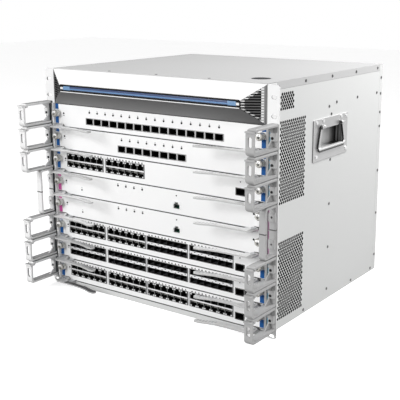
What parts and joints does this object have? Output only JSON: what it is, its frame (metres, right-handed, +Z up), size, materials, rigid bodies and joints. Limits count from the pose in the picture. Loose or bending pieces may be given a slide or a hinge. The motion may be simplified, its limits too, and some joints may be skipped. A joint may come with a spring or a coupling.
{
  "type": "modular chassis switch",
  "caption": "Rack-mounted modular network switch with slide-in cards, ejector levers, cable rings, a louvred bezel and folding carrying handles.",
  "frame": {"origin": "centre of the underside of the chassis", "axes": "X to the right seen from the front, Y to the rear, Z up"},
  "size_m": [0.4826, 0.476, 0.3965],
  "materials": {
    "white_paint": "satin",
    "chassis_paint": "satin",
    "grey_plastic": "matte",
    "light_strip": "gloss",
    "steel": "brushed",
    "chrome": "polished",
    "zinc": "satin",
    "cage_metal": "satin",
    "board_green": "matte"
  },
  "bodies": {
    "chassis": {"base_pan": "chassis_paint", "side_panel_left": "chassis_paint", "side_panel_right": "chassis_paint", "top_cover": "chassis_paint", "rear_frame": "chassis_paint", "midplane": "board_green", "rack_ear_left": "white_paint", "rack_ear_right": "white_paint", "card_guides_left": "zinc", "card_guides_right": "zinc", "bezel_shell": "white_paint", "bezel_light_bar": "light_strip", "cable_rings": "grey_plastic", "cable_loops": "grey_plastic", "handle_plate_left": "steel", "handle_plate_right": "steel", "case_screws": "zinc"},
    "card_1_body": {"card_1": "white_paint", "captive_screws_1": "chrome", "ports_1": "cage_metal"},
    "lever_1_left_body": {"lever_1_left": "steel"},
    "lever_1_right_body": {"lever_1_right": "steel"},
    "card_2_body": {"card_2": "white_paint", "captive_screws_2": "chrome", "ports_2": "cage_metal"},
    "lever_2_left_body": {"lever_2_left": "steel"},
    "lever_2_right_body": {"lever_2_right": "steel"},
    "card_3_body": {"card_3": "white_paint", "captive_screws_3": "chrome", "ports_3": "cage_metal"},
    "lever_3_left_body": {"lever_3_left": "steel"},
    "lever_3_right_body": {"lever_3_right": "steel"},
    "card_4_body": {"card_4": "white_paint", "captive_screws_4": "chrome"},
    "lever_4_left_body": {"lever_4_left": "steel"},
    "lever_4_right_body": {"lever_4_right": "steel"},
    "card_5_body": {"card_5": "white_paint", "captive_screws_5": "chrome"},
    "lever_5_left_body": {"lever_5_left": "steel"},
    "lever_5_right_body": {"lever_5_right": "steel"},
    "card_6_body": {"card_6": "white_paint", "captive_screws_6": "chrome", "ports_6": "cage_metal"},
    "lever_6_left_body": {"lever_6_left": "steel"},
    "lever_6_right_body": {"lever_6_right": "steel"},
    "card_7_body": {"card_7": "white_paint", "captive_screws_7": "chrome", "ports_7": "cage_metal"},
    "lever_7_left_body": {"lever_7_left": "steel"},
    "lever_7_right_body": {"lever_7_right": "steel"},
    "card_8_body": {"card_8": "white_paint", "captive_screws_8": "chrome", "ports_8": "cage_metal"},
    "lever_8_left_body": {"lever_8_left": "steel"},
    "lever_8_right_body": {"lever_8_right": "steel"},
    "bail_left_body": {"handle_bail_left": "chrome"},
    "bail_right_body": {"handle_bail_right": "chrome"},
    "fan_tray_body": {"fan_tray": "chassis_paint"},
    "power_supply_left_body": {"power_supply_left": "chassis_paint"},
    "power_supply_right_body": {"power_supply_right": "chassis_paint"}
  },
  "joints": [
    {"name": "card_1_slide", "type": "slide", "parent": "chassis", "child": "card_1_body", "axis": [0, -1, 0], "range_m": [0, 0.28]},
    {"name": "lever_1_left_hinge", "type": "hinge", "parent": "card_1_body", "child": "lever_1_left_body", "pos_m": [-0.2045, -0.213, 0.29625], "axis": [0, 0, -1], "range_deg": [0, 60]},
    {"name": "lever_1_right_hinge", "type": "hinge", "parent": "card_1_body", "child": "lever_1_right_body", "pos_m": [0.2045, -0.213, 0.29625], "axis": [0, 0, 1], "range_deg": [0, 60]},
    {"name": "card_2_slide", "type": "slide", "parent": "chassis", "child": "card_2_body", "axis": [0, -1, 0], "range_m": [0, 0.28]},
    {"name": "lever_2_left_hinge", "type": "hinge", "parent": "card_2_body", "child": "lever_2_left_body", "pos_m": [-0.2045, -0.213, 0.2557], "axis": [0, 0, -1], "range_deg": [0, 60]},
    {"name": "lever_2_right_hinge", "type": "hinge", "parent": "card_2_body", "child": "lever_2_right_body", "pos_m": [0.2045, -0.213, 0.2557], "axis": [0, 0, 1], "range_deg": [0, 60]},
    {"name": "card_3_slide", "type": "slide", "parent": "chassis", "child": "card_3_body", "axis": [0, -1, 0], "range_m": [0, 0.28]},
    {"name": "lever_3_left_hinge", "type": "hinge", "parent": "card_3_body", "child": "lever_3_left_body", "pos_m": [-0.2045, -0.213, 0.21515], "axis": [0, 0, -1], "range_deg": [0, 60]},
    {"name": "lever_3_right_hinge", "type": "hinge", "parent": "card_3_body", "child": "lever_3_right_body", "pos_m": [0.2045, -0.213, 0.21515], "axis": [0, 0, 1], "range_deg": [0, 60]},
    {"name": "card_4_slide", "type": "slide", "parent": "chassis", "child": "card_4_body", "axis": [0, -1, 0], "range_m": [0, 0.28]},
    {"name": "lever_4_left_hinge", "type": "hinge", "parent": "card_4_body", "child": "lever_4_left_body", "pos_m": [-0.2045, -0.213, 0.1746], "axis": [0, 0, -1], "range_deg": [0, 60]},
    {"name": "lever_4_right_hinge", "type": "hinge", "parent": "card_4_body", "child": "lever_4_right_body", "pos_m": [0.2045, -0.213, 0.1746], "axis": [0, 0, 1], "range_deg": [0, 60]},
    {"name": "card_5_slide", "type": "slide", "parent": "chassis", "child": "card_5_body", "axis": [0, -1, 0], "range_m": [0, 0.28]},
    {"name": "lever_5_left_hinge", "type": "hinge", "parent": "card_5_body", "child": "lever_5_left_body", "pos_m": [-0.2045, -0.213, 0.13405], "axis": [0, 0, -1], "range_deg": [0, 60]},
    {"name": "lever_5_right_hinge", "type": "hinge", "parent": "card_5_body", "child": "lever_5_right_body", "pos_m": [0.2045, -0.213, 0.13405], "axis": [0, 0, 1], "range_deg": [0, 60]},
    {"name": "card_6_slide", "type": "slide", "parent": "chassis", "child": "card_6_body", "axis": [0, -1, 0], "range_m": [0, 0.28]},
    {"name": "lever_6_left_hinge", "type": "hinge", "parent": "card_6_body", "child": "lever_6_left_body", "pos_m": [-0.2045, -0.213, 0.0935], "axis": [0, 0, -1], "range_deg": [0, 60]},
    {"name": "lever_6_right_hinge", "type": "hinge", "parent": "card_6_body", "child": "lever_6_right_body", "pos_m": [0.2045, -0.213, 0.0935], "axis": [0, 0, 1], "range_deg": [0, 60]},
    {"name": "card_7_slide", "type": "slide", "parent": "chassis", "child": "card_7_body", "axis": [0, -1, 0], "range_m": [0, 0.28]},
    {"name": "lever_7_left_hinge", "type": "hinge", "parent": "card_7_body", "child": "lever_7_left_body", "pos_m": [-0.2045, -0.213, 0.05295], "axis": [0, 0, -1], "range_deg": [0, 60]},
    {"name": "lever_7_right_hinge", "type": "hinge", "parent": "card_7_body", "child": "lever_7_right_body", "pos_m": [0.2045, -0.213, 0.05295], "axis": [0, 0, 1], "range_deg": [0, 60]},
    {"name": "card_8_slide", "type": "slide", "parent": "chassis", "child": "card_8_body", "axis": [0, -1, 0], "range_m": [0, 0.28]},
    {"name": "lever_8_left_hinge", "type": "hinge", "parent": "card_8_body", "child": "lever_8_left_body", "pos_m": [-0.2045, -0.213, 0.0124], "axis": [0, 0, -1], "range_deg": [0, 60]},
    {"name": "lever_8_right_hinge", "type": "hinge", "parent": "card_8_body", "child": "lever_8_right_body", "pos_m": [0.2045, -0.213, 0.0124], "axis": [0, 0, 1], "range_deg": [0, 60]},
    {"name": "bail_left_hinge", "type": "hinge", "parent": "chassis", "child": "bail_left_body", "pos_m": [-0.226, -0.002, 0.3096], "axis": [0, 1, 0], "range_deg": [0, 90]},
    {"name": "bail_right_hinge", "type": "hinge", "parent": "chassis", "child": "bail_right_body", "pos_m": [0.226, -0.002, 0.3096], "axis": [0, -1, 0], "range_deg": [0, 90]},
    {"name": "fan_tray_slide", "type": "slide", "parent": "chassis", "child": "fan_tray_body", "axis": [0, 1, 0], "range_m": [0, 0.085]},
    {"name": "power_supply_left_slide", "type": "slide", "parent": "chassis", "child": "power_supply_left_body", "axis": [0, 1, 0], "range_m": [0, 0.085]},
    {"name": "power_supply_right_slide", "type": "slide", "parent": "chassis", "child": "power_supply_right_body", "axis": [0, 1, 0], "range_m": [0, 0.085]}
  ]
}
